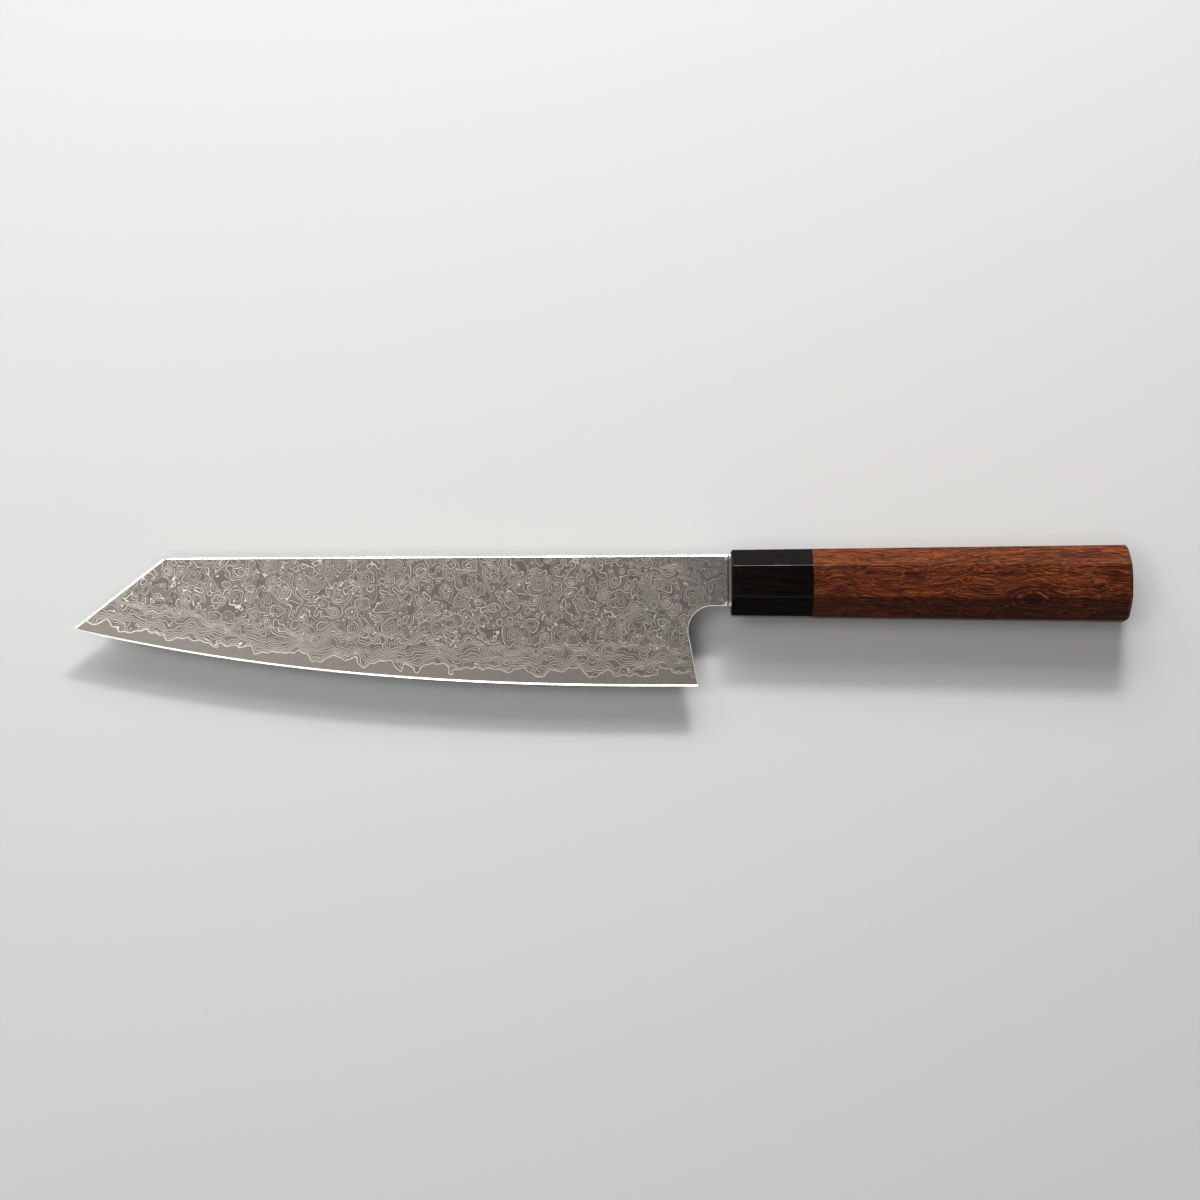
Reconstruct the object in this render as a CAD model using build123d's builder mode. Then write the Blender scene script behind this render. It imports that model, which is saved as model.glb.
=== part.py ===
from build123d import *
import os
from math import asin, cos, degrees, pi, radians, sin, sqrt, tan

os.makedirs("parts", exist_ok=True)

# A kiritsuke kitchen knife, lying on its side.
# The blade is a hard core between two forge welded cladding sheets. A plain steel tang is
# welded to its neck and runs through a dark wooden ferrule into a split dowel in the handle.
# X runs from the tip to the butt, Y from the edge to the spine, Z through the thickness.
# The origin is under the middle of the knife, level with the underside of the handle.

# Blade, seen from the side
edge_length = 210.0
heel_gap = 10.8
heel_height = 44.2
heel_lean = 10.5
choil_radius = 8.0
neck_height = 17.4
spine_fall = 1.1
spine_above_axis = 9.7
clip_length = 30.7
clip_corner_radius = 6.0
outline_lift = 0.05
tip_height = 19.0
edge_flat = 14.5

# Rise of the edge from the end of its flat to the tip, as the control shares of a cubic
# curve that are evenly spaced along the blade
edge_rise_shares = (0.0, 0.0, 0.208, 1.0)

# Blade, through the thickness
neck_thickness = 2.3
corner_thickness = 1.4
tip_thickness = 1.0
shoulder_thickness = 0.34
apex_thickness = 0.05
bevel_height = 0.8
face_bulge = 0.06
spine_rounding = 0.4
clip_bevel_width = 0.35
tip_bevel_width = 0.08
weld_bevel = 0.15

# Rounding of the heel, the choil and the underside of the neck, as a share of the blade's
# thickness at the heel's shoulder, which is the thinnest wall that it runs along
heel_rounding_share = 0.45

# Layers of the blade
core_exposed = 4.3
core_at_spine = 0.7
core_at_edge = 0.34
core_tip_share = 0.6
line_wave = 0.75
line_wave_length = 15.6
line_ripple = 0.5
line_ripple_length = 9.3

# Handle
ferrule_length = 27.2
body_length = 106.6
front_height = 22.1
butt_height = 25.5
front_width = 18.4
butt_width = 21.0
front_corner = 5.9
butt_corner = 6.9
long_edge_rounding = 1.0
mouth_bevel = 0.6
butt_bevel = 0.9
butt_dome = 1.0

# Tang and what holds it
shoulder_length = 0.9
tang_root_height = 9.6
tang_tip_height = 5.6
tang_thickness = 2.2
tang_length = 88.0
tang_tip_radius = 2.2
dowel_diameter = 13.0
dowel_length = 98.0
dowel_front_setback = 7.0
dowel_end_chamfer = 0.8
channel_gap = 0.35
slot_gap = 0.2
bore_fit = 0.05
bore_depth_spare = 2.0
seal_depth = 2.5
overrun = 6.0

# Places along the knife
handle_length = ferrule_length + body_length
overall_length = edge_length + heel_gap + handle_length
tip_x = -overall_length / 2
heel_x = tip_x + edge_length
mouth_x = heel_x + heel_gap
blade_end_x = mouth_x - shoulder_length
joint_x = mouth_x + ferrule_length
butt_x = joint_x + body_length
flat_x = heel_x - edge_flat

# Places across the knife: its outline is centred on the X axis
reach_up = max(butt_height / 2, spine_above_axis)
reach_down = max(butt_height / 2, heel_height - spine_above_axis)
axis_y = (reach_down - reach_up) / 2
spine_y = axis_y + spine_above_axis
low_y = spine_y - heel_height
tip_y = low_y + tip_height
corner_x = tip_x + clip_length
corner_y = spine_y - spine_fall

# The middle plane of the blade and the handle
axis_z = butt_width / 2


def bezier(values, share):
    """A cubic curve through the first and last of four control values."""
    a, b, c, d = values
    rest = 1 - share
    return a * rest**3 + 3 * b * rest**2 * share + 3 * c * rest * share**2 + d * share**3


def edge_y(x):
    """Height of the cutting edge at a place along the blade."""
    share = max((flat_x - x) / (flat_x - tip_x), 0)
    return low_y + tip_height * bezier(edge_rise_shares, share)


def spine_line_y(x):
    """Height of the straight spine line at a place along the blade."""
    return spine_y - spine_fall * (mouth_x - x) / (mouth_x - corner_x)


def spine_thickness(x):
    """Thickness at the spine, which thins evenly to the corner and then to the tip."""
    if x > corner_x:
        share = (mouth_x - x) / (mouth_x - corner_x)
        return neck_thickness + (corner_thickness - neck_thickness) * share
    share = (corner_x - x) / clip_length
    return corner_thickness + (tip_thickness - corner_thickness) * share


def cladding_line_y(x):
    """Height of the wavy line where the cladding gives way to the bare core."""
    wave = line_wave * sin(2 * pi * (x - heel_x) / line_wave_length)
    ripple = line_ripple * sin(2 * pi * (x - tip_x) / line_ripple_length)
    return edge_y(x) + core_exposed + wave + ripple


def across(x):
    """A plane square to the length, with its own X along the height and its Y up."""
    return Plane(origin=(x, 0, axis_z), x_dir=(0, 1, 0), z_dir=(-1, 0, 0))


def bevel_plane(start, end, outward):
    """A plane that bevels the edge from start to end and faces outward."""
    along = end - start
    square = outward - along * (outward.dot(along) / along.dot(along))
    return Plane(start, x_dir=along, z_dir=square)


# Blade form: sections from the neck to beyond the tip, each with an edge bevel, slightly
# convex faces and a rounded spine, joined by a smooth loft
station_count = 10
station_span = (blade_end_x - tip_x) / (station_count - 1)
stations = [blade_end_x - station_span * step for step in range(station_count)]
stations.append(tip_x - overrun)

with BuildPart() as blade_form:
    for station in stations:
        bottom = edge_y(station)
        top = spine_line_y(station)
        shoulder = bottom + bevel_height
        half_top = spine_thickness(station) / 2
        half_shoulder = shoulder_thickness / 2
        half_apex = apex_thickness / 2
        middle = (shoulder + top) / 2
        half_middle = (half_top + half_shoulder) / 2 + face_bulge
        round_start = top - spine_rounding
        round_inset = spine_rounding * (1 - sqrt(1 / 2))
        half_flat = half_top - spine_rounding
        with BuildSketch(across(station)):
            with BuildLine():
                Line((bottom, -half_apex), (bottom, half_apex))
                for side in (1, -1):
                    Line((bottom, side * half_apex), (shoulder, side * half_shoulder))
                    ThreePointArc(
                        (shoulder, side * half_shoulder),
                        (middle, side * half_middle),
                        (round_start, side * half_top),
                    )
                    ThreePointArc(
                        (round_start, side * half_top),
                        (top - round_inset, side * (half_top - round_inset)),
                        (top, side * half_flat),
                    )
                Line((top, half_flat), (top, -half_flat))
            make_face()
    loft()

# Outline of the blade: the spine, the angled clip, the neck, the round choil and the
# leaning heel. The spine and the cutting edge themselves come from the blade form.
heel_slant = tan(radians(heel_lean))
neck_y = spine_y - neck_height
heel_top_x = heel_x - (neck_y - low_y) * heel_slant
below_y = low_y - overrun
clip_slope = (corner_y - tip_y) / clip_length
beyond_tip_x = tip_x - overrun
above_corner_x = corner_x + outline_lift / clip_slope

with BuildPart() as blade:
    with BuildSketch(Plane.XY) as outline:
        with BuildLine():
            Polyline(
                (beyond_tip_x, tip_y - overrun * clip_slope),
                (above_corner_x, corner_y + outline_lift),
                (blade_end_x + overrun, spine_y + outline_lift),
                (blade_end_x + overrun, neck_y),
                (heel_top_x, neck_y),
                (heel_x + overrun * heel_slant, below_y),
                (beyond_tip_x, below_y),
                close=True,
            )
        make_face()
        corner_place = (above_corner_x, corner_y + outline_lift, 0)
        fillet(outline.vertices().sort_by_distance(corner_place)[0], clip_corner_radius)
        choil_place = (heel_top_x, neck_y, 0)
        fillet(outline.vertices().sort_by_distance(choil_place)[0], choil_radius)
    extrude(amount=butt_width)
    add(blade_form.part, mode=Mode.INTERSECT)

    # The heel, the choil and the underside of the neck are eased on both sides
    for side in (0, -1):
        choil = blade.faces().filter_by(GeomType.CYLINDER).sort_by(Axis.X)[-1]
        choil_edges = choil.edges().sort_by(SortBy.LENGTH)[-2:]
        fillet(choil_edges.sort_by(Axis.Z)[side], shoulder_thickness * heel_rounding_share)

    # The clip has a narrow bevel on both sides, which thins with the blade towards the tip
    for side in (1, -1):
        corner_side = axis_z + side * (spine_thickness(corner_x) / 2 - clip_bevel_width)
        tip_side = axis_z + side * (shoulder_thickness / 2 - tip_bevel_width)
        bevel_start = Vector(corner_x, corner_y, corner_side)
        bevel_end = Vector(tip_x, tip_y, tip_side)
        clip_run = (bevel_end - bevel_start).length
        outward = Vector(tip_y - corner_y, clip_length, side * clip_run)
        split(bisect_by=bevel_plane(bevel_start, bevel_end, outward), keep=Keep.BOTTOM)

    # The end of the neck is bevelled on both sides, for the weld to the tang
    neck_end = blade.faces().sort_by(Axis.X)[-1]
    neck_sides = neck_end.edges().sort_by(SortBy.LENGTH)[-2:].sort_by(Axis.Z)
    for side, edge in zip((-1, 1), neck_sides):
        inset = Vector(0, 0, side * weld_bevel)
        plane = bevel_plane(edge @ 0 - inset, edge @ 1 - inset, Vector(1, 0, side))
        split(bisect_by=plane, keep=Keep.BOTTOM)

# Core slab: it thins towards the edge and towards the tip, as forging leaves it
with BuildPart() as core_slab:
    for place, share in ((blade_end_x, 1), (tip_x, core_tip_share)):
        half_edge = core_at_edge * share / 2
        half_spine = core_at_spine * share / 2
        with BuildSketch(across(place)):
            with BuildLine():
                Polyline(
                    (low_y, -half_edge),
                    (low_y, half_edge),
                    (spine_y, half_spine),
                    (spine_y, -half_spine),
                    close=True,
                )
            make_face()
    loft(ruled=True)

# Room of the cladding sheets: all of the blade above the wavy line
points_per_ripple = 4
line_point_count = points_per_ripple * round(edge_length / line_ripple_length)
line_step = (blade_end_x + overrun - beyond_tip_x) / line_point_count
line_places = [beyond_tip_x + line_step * count for count in range(line_point_count + 1)]
wavy_points = [(place, cladding_line_y(place)) for place in line_places]
above_y = spine_y + overrun

with BuildPart() as cladding_room:
    with BuildSketch(Plane.XY.offset(axis_z)):
        with BuildLine():
            Spline(*wavy_points)
            Polyline(
                wavy_points[-1],
                (wavy_points[-1][0], above_y),
                (wavy_points[0][0], above_y),
                wavy_points[0],
            )
        make_face()
    extrude(amount=axis_z, both=True)

# Cladding sheets: what lies above the wavy line, on each side of the core slab
with BuildPart() as both_claddings:
    add(blade.part)
    add(cladding_room.part, mode=Mode.INTERSECT)
    add(core_slab.part, mode=Mode.SUBTRACT)


with BuildPart() as cladding_left:
    add(both_claddings.solids().sort_by(Axis.Z)[-1])

with BuildPart() as cladding_right:
    add(both_claddings.solids().sort_by(Axis.Z)[0])

# Core: the slab between the sheets, and all of the blade below the wavy line
with BuildPart() as blade_core:
    add(blade.part)
    add(both_claddings.part, mode=Mode.SUBTRACT)

# Tang: a plain steel bar welded to the end of the neck. Its shoulder has the section of
# the neck, bevelled at the weld as the neck is, and seats on the mouth of the ferrule.
tang_end_x = mouth_x + tang_length
root_half = tang_root_height / 2
tip_half = tang_tip_height / 2

with BuildPart() as tang:
    with BuildSketch(Plane.XY.offset(axis_z)) as tang_outline:
        with BuildLine():
            Polyline(
                (mouth_x, axis_y - root_half),
                (tang_end_x, axis_y - tip_half),
                (tang_end_x, axis_y + tip_half),
                (mouth_x, axis_y + root_half),
                close=True,
            )
        make_face()
        fillet(tang_outline.vertices().group_by(Axis.X)[-1], tang_tip_radius)
    extrude(amount=tang_thickness / 2, both=True)
    extrude(neck_end, amount=shoulder_length)
    for side, edge in zip((-1, 1), neck_sides):
        inset = Vector(0, 0, side * weld_bevel)
        plane = bevel_plane(edge @ 0 - inset, edge @ 1 - inset, Vector(-1, 0, side))
        split(bisect_by=plane, keep=Keep.BOTTOM)

# Room beyond the slightly domed butt
dome_radius = ((butt_height / 2) ** 2 + butt_dome**2) / (2 * butt_dome)
dome_angle = degrees(asin((butt_height / 2 + overrun) / dome_radius))

with BuildPart() as beyond_butt:
    with BuildSketch(Plane.XY.offset(axis_z)):
        with BuildLine():
            dome = CenterArc((butt_x - dome_radius, axis_y), dome_radius, 0, dome_angle)
            Polyline(
                dome @ 0,
                (butt_x + overrun, axis_y),
                (butt_x + overrun, (dome @ 1).Y),
                dome @ 1,
            )
        make_face()
    revolve(axis=Axis((butt_x, axis_y, axis_z), (1, 0, 0)))

# Handle form: four wedges, each between two opposite flats that open towards the butt,
# meet in an octagon. Both ends are bevelled and the long edges rounded.
front_slant = (front_height + front_width - 2 * front_corner) / sqrt(2)
butt_slant = (butt_height + butt_width - 2 * butt_corner) / sqrt(2)
flat_pairs = (
    (0, front_height, butt_height),
    (45, front_slant, butt_slant),
    (90, front_width, butt_width),
    (135, front_slant, butt_slant),
)

with BuildPart() as handle_form:
    for turn, front_span, butt_span in flat_pairs:
        side = (0, -sin(radians(turn)), cos(radians(turn)))
        wedge_plane = Plane(origin=(0, axis_y, axis_z), x_dir=(1, 0, 0), z_dir=side)
        with BuildSketch(wedge_plane):
            with BuildLine():
                Polyline(
                    (mouth_x, -front_span / 2),
                    (butt_x, -butt_span / 2),
                    (butt_x, butt_span / 2),
                    (mouth_x, front_span / 2),
                    close=True,
                )
            make_face()
        extrude(amount=butt_height, both=True, mode=Mode.INTERSECT if turn else Mode.ADD)
    add(beyond_butt.part, mode=Mode.SUBTRACT)
    chamfer(handle_form.faces().sort_by(Axis.X)[0].edges(), mouth_bevel)
    chamfer(handle_form.faces().filter_by(GeomType.SPHERE)[0].edges(), butt_bevel)
    fillet(handle_form.edges().sort_by(SortBy.LENGTH)[-8:], long_edge_rounding)

dowel_front_x = mouth_x + dowel_front_setback
dowel_end_x = dowel_front_x + dowel_length
bore_end_x = dowel_end_x + bore_depth_spare
bore_radius = dowel_diameter / 2 + bore_fit

# Ferrule: bored from behind for the dowel, with a slot for the tang in its front wall
with BuildPart() as ferrule:
    add(handle_form.part)
    split(bisect_by=Plane.YZ.offset(joint_x), keep=Keep.BOTTOM)
    with BuildSketch(Plane.YZ.offset(joint_x)):
        with Locations((axis_y, axis_z)):
            Circle(bore_radius)
    extrude(amount=dowel_front_x - joint_x, mode=Mode.SUBTRACT)
    with BuildSketch(Plane.YZ.offset(mouth_x)):
        with Locations((axis_y, axis_z)):
            Rectangle(tang_root_height + 2 * slot_gap, tang_thickness + 2 * slot_gap)
    extrude(amount=dowel_front_setback, mode=Mode.SUBTRACT)

# Handle body: a blind bore takes the rest of the dowel
with BuildPart() as handle_body:
    add(handle_form.part)
    split(bisect_by=Plane.YZ.offset(joint_x), keep=Keep.TOP)
    with BuildSketch(Plane.YZ.offset(joint_x)):
        with Locations((axis_y, axis_z)):
            Circle(bore_radius)
    extrude(amount=bore_end_x - joint_x, mode=Mode.SUBTRACT)

# Channel: the room cut into the dowel for the tang and the adhesive around it
channel_end_x = tang_end_x + channel_gap

with BuildPart() as channel:
    with BuildSketch(Plane.XY.offset(axis_z)) as channel_outline:
        with BuildLine():
            Polyline(
                (mouth_x, axis_y - root_half - channel_gap),
                (channel_end_x, axis_y - tip_half - channel_gap),
                (channel_end_x, axis_y + tip_half + channel_gap),
                (mouth_x, axis_y + root_half + channel_gap),
                close=True,
            )
        make_face()
        fillet(channel_outline.vertices().group_by(Axis.X)[-1], tang_tip_radius + channel_gap)
    extrude(amount=tang_thickness / 2 + channel_gap, both=True)
    split(bisect_by=Plane.YZ.offset(dowel_front_x), keep=Keep.TOP)

# Dowel: split along the middle plane of the tang, hollowed, and glued round it
with BuildPart() as dowel:
    with BuildSketch(Plane.YZ.offset(dowel_front_x)):
        with Locations((axis_y, axis_z)):
            Circle(dowel_diameter / 2)
    extrude(amount=dowel_length)
    chamfer(dowel.faces().sort_by(Axis.X)[-1].edges(), dowel_end_chamfer)
    add(channel.part, mode=Mode.SUBTRACT)

with BuildPart() as dowel_left:
    add(dowel.part)
    split(bisect_by=Plane.XY.offset(axis_z), keep=Keep.TOP)

with BuildPart() as dowel_right:
    add(dowel.part)
    split(bisect_by=Plane.XY.offset(axis_z), keep=Keep.BOTTOM)

# Adhesive: it fills the channel round the tang
with BuildPart() as tang_adhesive:
    add(channel.part)
    add(tang.part, mode=Mode.SUBTRACT)

# Seal: a plug of dark resin that closes the slot round the tang, level with the mouth
with BuildPart() as mouth_seal:
    with BuildSketch(Plane.YZ.offset(mouth_x)):
        with Locations((axis_y, axis_z)):
            Rectangle(tang_root_height + 2 * slot_gap, tang_thickness + 2 * slot_gap)
    extrude(amount=seal_depth)
    add(tang.part, mode=Mode.SUBTRACT)

blade_core.part.label = "blade_core"
cladding_left.part.label = "cladding_left"
cladding_right.part.label = "cladding_right"
tang.part.label = "tang"
ferrule.part.label = "ferrule"
handle_body.part.label = "handle_body"
dowel_left.part.label = "dowel_left"
dowel_right.part.label = "dowel_right"
tang_adhesive.part.label = "tang_adhesive"
mouth_seal.part.label = "mouth_seal"

export_step(blade_core.part, "parts/blade_core.step")
export_step(cladding_left.part, "parts/cladding_left.step")
export_step(cladding_right.part, "parts/cladding_right.step")
export_step(tang.part, "parts/tang.step")
export_step(ferrule.part, "parts/ferrule.step")
export_step(handle_body.part, "parts/handle_body.step")
export_step(dowel_left.part, "parts/dowel_left.step")
export_step(dowel_right.part, "parts/dowel_right.step")
export_step(tang_adhesive.part, "parts/tang_adhesive.step")
export_step(mouth_seal.part, "parts/mouth_seal.step")
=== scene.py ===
import math

import bpy
from bpy.props import FloatProperty, FloatVectorProperty, PointerProperty
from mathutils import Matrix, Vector


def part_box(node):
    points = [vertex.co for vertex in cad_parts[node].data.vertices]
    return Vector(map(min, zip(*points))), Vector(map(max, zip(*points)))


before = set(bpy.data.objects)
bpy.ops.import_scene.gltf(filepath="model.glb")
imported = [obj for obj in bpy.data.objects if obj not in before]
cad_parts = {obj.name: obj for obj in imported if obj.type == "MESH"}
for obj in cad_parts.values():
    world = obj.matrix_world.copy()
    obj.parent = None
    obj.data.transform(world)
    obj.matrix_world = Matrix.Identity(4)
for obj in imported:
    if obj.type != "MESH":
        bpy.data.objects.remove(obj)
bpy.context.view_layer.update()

bl_info = {
    "name": "Kiritsuke Knife Finish",
    "version": (1, 0, 0),
    "blender": (4, 5, 0),
    "location": "View3D > Sidebar > Knife",
    "description": "Gives a kiritsuke knife its steels, woods, floor, lights and camera",
    "category": "Material",
}

MM = 0.001

# Places on the knife in millimetres, from the frame
blade_low, blade_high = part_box("blade_core")
ferrule_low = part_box("ferrule")[0]
handle_low, handle_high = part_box("handle_body")
TIP_X = blade_low.x / MM
LOW_Y = blade_low.y / MM
SPINE_Y = blade_high.y / MM
NECK_END_X = blade_high.x / MM
MOUTH_X = ferrule_low.x / MM
BUTT_X = handle_high.x / MM
AXIS_Y = (handle_low.y + handle_high.y) / 2 / MM
AXIS_Z = (handle_low.z + handle_high.z) / 2 / MM

# Sizes of the blade in millimetres, as the solid model has them
EDGE_LENGTH = 210.0
EDGE_FLAT = 14.5
TIP_HEIGHT = 19.0
EDGE_RISE_SHARE = 0.624
CORE_EXPOSED = 4.3
CLIP_LENGTH = 30.7
SPINE_FALL = 1.1
HEEL_LEAN = math.radians(10.5)
CHOIL_RADIUS = 8.0
NECK_HEIGHT = 17.4
HEEL_X = TIP_X + EDGE_LENGTH
FLAT_X = HEEL_X - EDGE_FLAT
CORNER_X = TIP_X + CLIP_LENGTH
CORNER_Y = SPINE_Y - SPINE_FALL
CHOIL_Y = SPINE_Y - NECK_HEIGHT - CHOIL_RADIUS
CHOIL_REACH = CHOIL_RADIUS - math.sin(HEEL_LEAN) * (CHOIL_Y - LOW_Y)
CHOIL_X = HEEL_X + CHOIL_REACH / math.cos(HEEL_LEAN)

# Bands along the blade's outline in millimetres, each from its full to its faded end
HONED_BAND = (0.5, 0.66)
EASED_BAND = (0.45, 0.65)
CLIP_EASED_MORE = 0.12
HEEL_EASED_LESS = 0.25
# Painted highlight: near the neck's end the eased band widens, over this reach and by this much, to
# paint glints at the neck's corners
NECK_CORNER_GLINT_REACH = 2.2
NECK_CORNER_GLINT_WIDENING = 1.4

# Ripples that push the pattern's lines about, as size and reach in millimetres
RIPPLES = ((9.0, 2.6), (2.9, 0.55))

# Waves of the line where the cladding ends, as height, length and start in millimetres.
# They are those of the solid model.
END_WAVES = ((0.75, 15.6, HEEL_X), (0.5, 9.3, TIP_X))

# Curls round those waves. They are strong at the line and weak higher up.
CURL_SIZE = 3.0
CURL_HEIGHTS = (3.7, 0.9)
CURL_FADE = (4.6, 7.6)
END_RIPPLE_SHARE = 0.9

# Slow waves of the layers, as size in millimetres and height in layers
SLOW_WAVES = ((12.0, 5.0), (4.2, 3.2), (1.9, 0.8))

# Dimples that the grinding opens into rings, as share of the cluster's size, greatest radius
# as a share of that size, up or down, and shift in millimetres
DIMPLES = ((1.0, 0.6, 1, 0.0), (0.66, 0.52, -1, 31.0), (0.36, 0.45, -1, 57.0))
SMALLEST_DIMPLE = 0.25
DIMPLE_RIM = 0.5

# Heights above the cladding's end in millimetres between which the dimples open
OPENING = (1.5, 10.0)

# Shift in millimetres that gives the far side a pattern of its own
FAR_SIDE_SHIFT = 137.0

# Distance in millimetres between the places whose heights give a slope
SLOPE_STEP = 0.12

# Half widths of the fine and the broad lines and their soft rims, in millimetres
LINE_WIDTHS = (0.02, 0.07)
LINE_RIM = 0.11

# The same as shares of a layer: the most that a crowded line keeps, and the islands
CROWDED_WIDTH = 0.07
CROWDED_RIM = 0.24
ISLAND_WIDTHS = (0.015, 0.1)
ISLAND_RIM = 0.05

# Brightness of the dark layers, the light layers and the line at the cladding's end
DARK_TONES = (0.95, 1.25)
LIGHT_TONES = (0.78, 1.14)
END_TONE = 1.15

# Places along the handle between which the pattern grows faint, and what is left of it
FAINT_REACH = (22.0, 40.0)
FAINT_SHARE = 0.45

# Roughness of the dark layers, the light layers, the eased spine and the honed edge
DARK_ROUGHNESS = 0.44
LIGHT_ROUGHNESS = 0.34
EASED_ROUGHNESS = 0.26
HONED_ROUGHNESS = 0.14

# Height in millimetres by which the light layers stand proud
ETCHED_RELIEF = 0.025

# The knot: its place, how much longer than high it is, and how far it parts the grain
KNOT_PLACE = (143.3, 5.0, 18.5)
KNOT_STRETCH = 2.2
KNOT_PARTING = 4.8
KNOT_HEART = (1.5, 2.6)
KNOT_RINGED = (3.6, 6.2)
KNOT_RING_SPACING = 0.6

# Waves that bend the rosewood's grain, as length and reach in millimetres
GRAIN_WAVES = ((30.0, 7.0), (11.0, 2.6))

# Painted light: how much lighter each millimetre towards the spine makes the rosewood, the side the
# light falls from
SPINE_SIDE_LIGHT = 0.008

# Strength of the pale background, where 1 is white
BACKGROUND = 0.82

# Width of the floor in metres, and the distances in millimetres between which the paper
# runs into the background
FLOOR_WIDTH = 8.0
PAPER_FADE = (220.0, 700.0)

# Middle of the picture in millimetres
VIEW_X = -0.3
VIEW_Y = 5.3

# The softboxes: name, place, point they are aimed at and size in metres, and radiance
SOFTBOXES = (
    ("key_softbox", (-0.08, 1.09, 0.75), (-0.08, 0, 0), (0.72, 0.5), 7.2),
    ("ridge_softbox", (0.17, 1.09, 0.75), (0.06, 0, 0), (0.26, 0.1), 105.0),
    ("clip_softbox", (-0.8, 0.95, 0.75), (-0.16, 0, 0), (0.5, 0.5), 3.6),
    ("overhead_softbox", (-0.29, 0.09, 0.95), (-0.16, 0, 0), (0.8, 0.5), 1.0),
    ("tip_softbox", (-0.5, 0.09, 0.9), (-0.17, 0, 0), (0.3, 0.45), 3.4),
    ("edge_strip", (-0.15, -0.267, 0.9), (-0.075, 0, 0), (0.62, 0.09), 5.0),
)

# Shader node names that the materials share
COORDINATES = "ShaderNodeTexCoord"
MATH = "ShaderNodeMath"
VECTOR_MATH = "ShaderNodeVectorMath"
SEPARATE = "ShaderNodeSeparateXYZ"
COMBINE = "ShaderNodeCombineXYZ"
RANGE = "ShaderNodeMapRange"
MIX = "ShaderNodeMix"
RAMP = "ShaderNodeValToRGB"
NOISE = "ShaderNodeTexNoise"
VORONOI = "ShaderNodeTexVoronoi"
WHITE_NOISE = "ShaderNodeTexWhiteNoise"
BUMP = "ShaderNodeBump"
PRINCIPLED = "ShaderNodeBsdfPrincipled"
OUTPUT = "ShaderNodeOutputMaterial"


def linear(hex_colour):
    """Turns an sRGB hex colour into the linear colour that shaders use."""
    channels = [int(hex_colour[place:place + 2], 16) / 255 for place in (1, 3, 5)]
    return tuple(((c + 0.055) / 1.055) ** 2.4 if c > 0.04045 else c / 12.92 for c in channels)


def add_node(tree, kind, inputs, stops=(), **settings):
    """Adds a node with its settings and inputs, and gives its first output in use."""
    node = tree.nodes.new(kind)
    for name, value in settings.items():
        setattr(node, name, value)
    for place, colour in stops:
        element = node.color_ramp.elements.new(place)
        element.color = (*colour, 1.0)
    if stops:
        node.color_ramp.elements.remove(node.color_ramp.elements[0])
        node.color_ramp.elements.remove(node.color_ramp.elements[-1])
    for key, value in inputs.items():
        named = [socket for socket in node.inputs if socket.enabled and socket.name == key]
        socket = named[0] if named else node.inputs[key]
        if isinstance(value, bpy.types.NodeSocket):
            tree.links.new(value, socket)
        else:
            socket.default_value = value
    return next((socket for socket in node.outputs if socket.enabled), None)


def new_material(name):
    """Makes an empty node material and gives it with its tree."""
    material = bpy.data.materials.new(name)
    material.use_nodes = True
    material.node_tree.nodes.clear()
    return material, material.node_tree


def millimetres(tree):
    """Object coordinates in millimetres."""
    place = add_node(tree, COORDINATES, {}).node.outputs["Object"]
    return add_node(tree, VECTOR_MATH, {0: place, "Scale": 1 / MM}, operation="SCALE")


def dress(node_name, material):
    """Gives a CAD node's object one material."""
    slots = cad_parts[node_name].data.materials
    slots.clear()
    slots.append(material)


class KnifeBladeLook(bpy.types.PropertyGroup):
    """Sizes and colours of the blade's finish."""

    light_layer: FloatVectorProperty(
        name="Light Layer",
        description="Colour of the bright layers that the etching leaves standing",
        subtype="COLOR",
        size=3,
        default=linear("#B0ABA2"),
    )
    dark_layer: FloatVectorProperty(
        name="Dark Layer",
        description="Colour of the layers that the etching darkens",
        subtype="COLOR",
        size=3,
        default=linear("#67625C"),
    )
    core_steel: FloatVectorProperty(
        name="Core Steel",
        description="Colour of the bare core above the edge",
        subtype="COLOR",
        size=3,
        default=linear("#7A756E"),
    )
    # Near-white steel of the honed edge and eased outline: partly polish, partly a painted
    # highlight
    polished_glint_steel: FloatVectorProperty(
        name="Polished Steel",
        description="Colour of the honed edge and the eased spine",
        subtype="COLOR",
        size=3,
        default=linear("#EFEDE8"),
    )
    cluster_size: FloatProperty(
        name="Ring Cluster",
        description="Spacing of the clusters of rings in the pattern",
        subtype="DISTANCE",
        unit="LENGTH",
        default=0.0085,
    )
    line_spacing: FloatProperty(
        name="Line Spacing",
        description="Spacing of neighbouring lines in the pattern",
        subtype="DISTANCE",
        unit="LENGTH",
        default=0.00076,
    )


class KnifeHandleLook(bpy.types.PropertyGroup):
    """Sizes and colours of the handle's finish."""

    wood_light: FloatVectorProperty(
        name="Light Grain",
        description="Colour of the light grain of the rosewood",
        subtype="COLOR",
        size=3,
        default=linear("#A2582C"),
    )
    wood_middle: FloatVectorProperty(
        name="Middle Grain",
        description="Main colour of the rosewood",
        subtype="COLOR",
        size=3,
        default=linear("#592610"),
    )
    wood_dark: FloatVectorProperty(
        name="Dark Grain",
        description="Colour of the dark grain of the rosewood",
        subtype="COLOR",
        size=3,
        default=linear("#1A0904"),
    )
    ebony: FloatVectorProperty(
        name="Ebony",
        description="Main colour of the ebony ferrule",
        subtype="COLOR",
        size=3,
        default=linear("#070605"),
    )
    ebony_streak: FloatVectorProperty(
        name="Ebony Streak",
        description="Colour of the faint brown streaks in the ebony",
        subtype="COLOR",
        size=3,
        default=linear("#1C110B"),
    )
    fibre_width: FloatProperty(
        name="Fibre Width",
        description="Width of the fine streaks in the rosewood",
        subtype="DISTANCE",
        unit="LENGTH",
        default=0.0003,
    )


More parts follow.
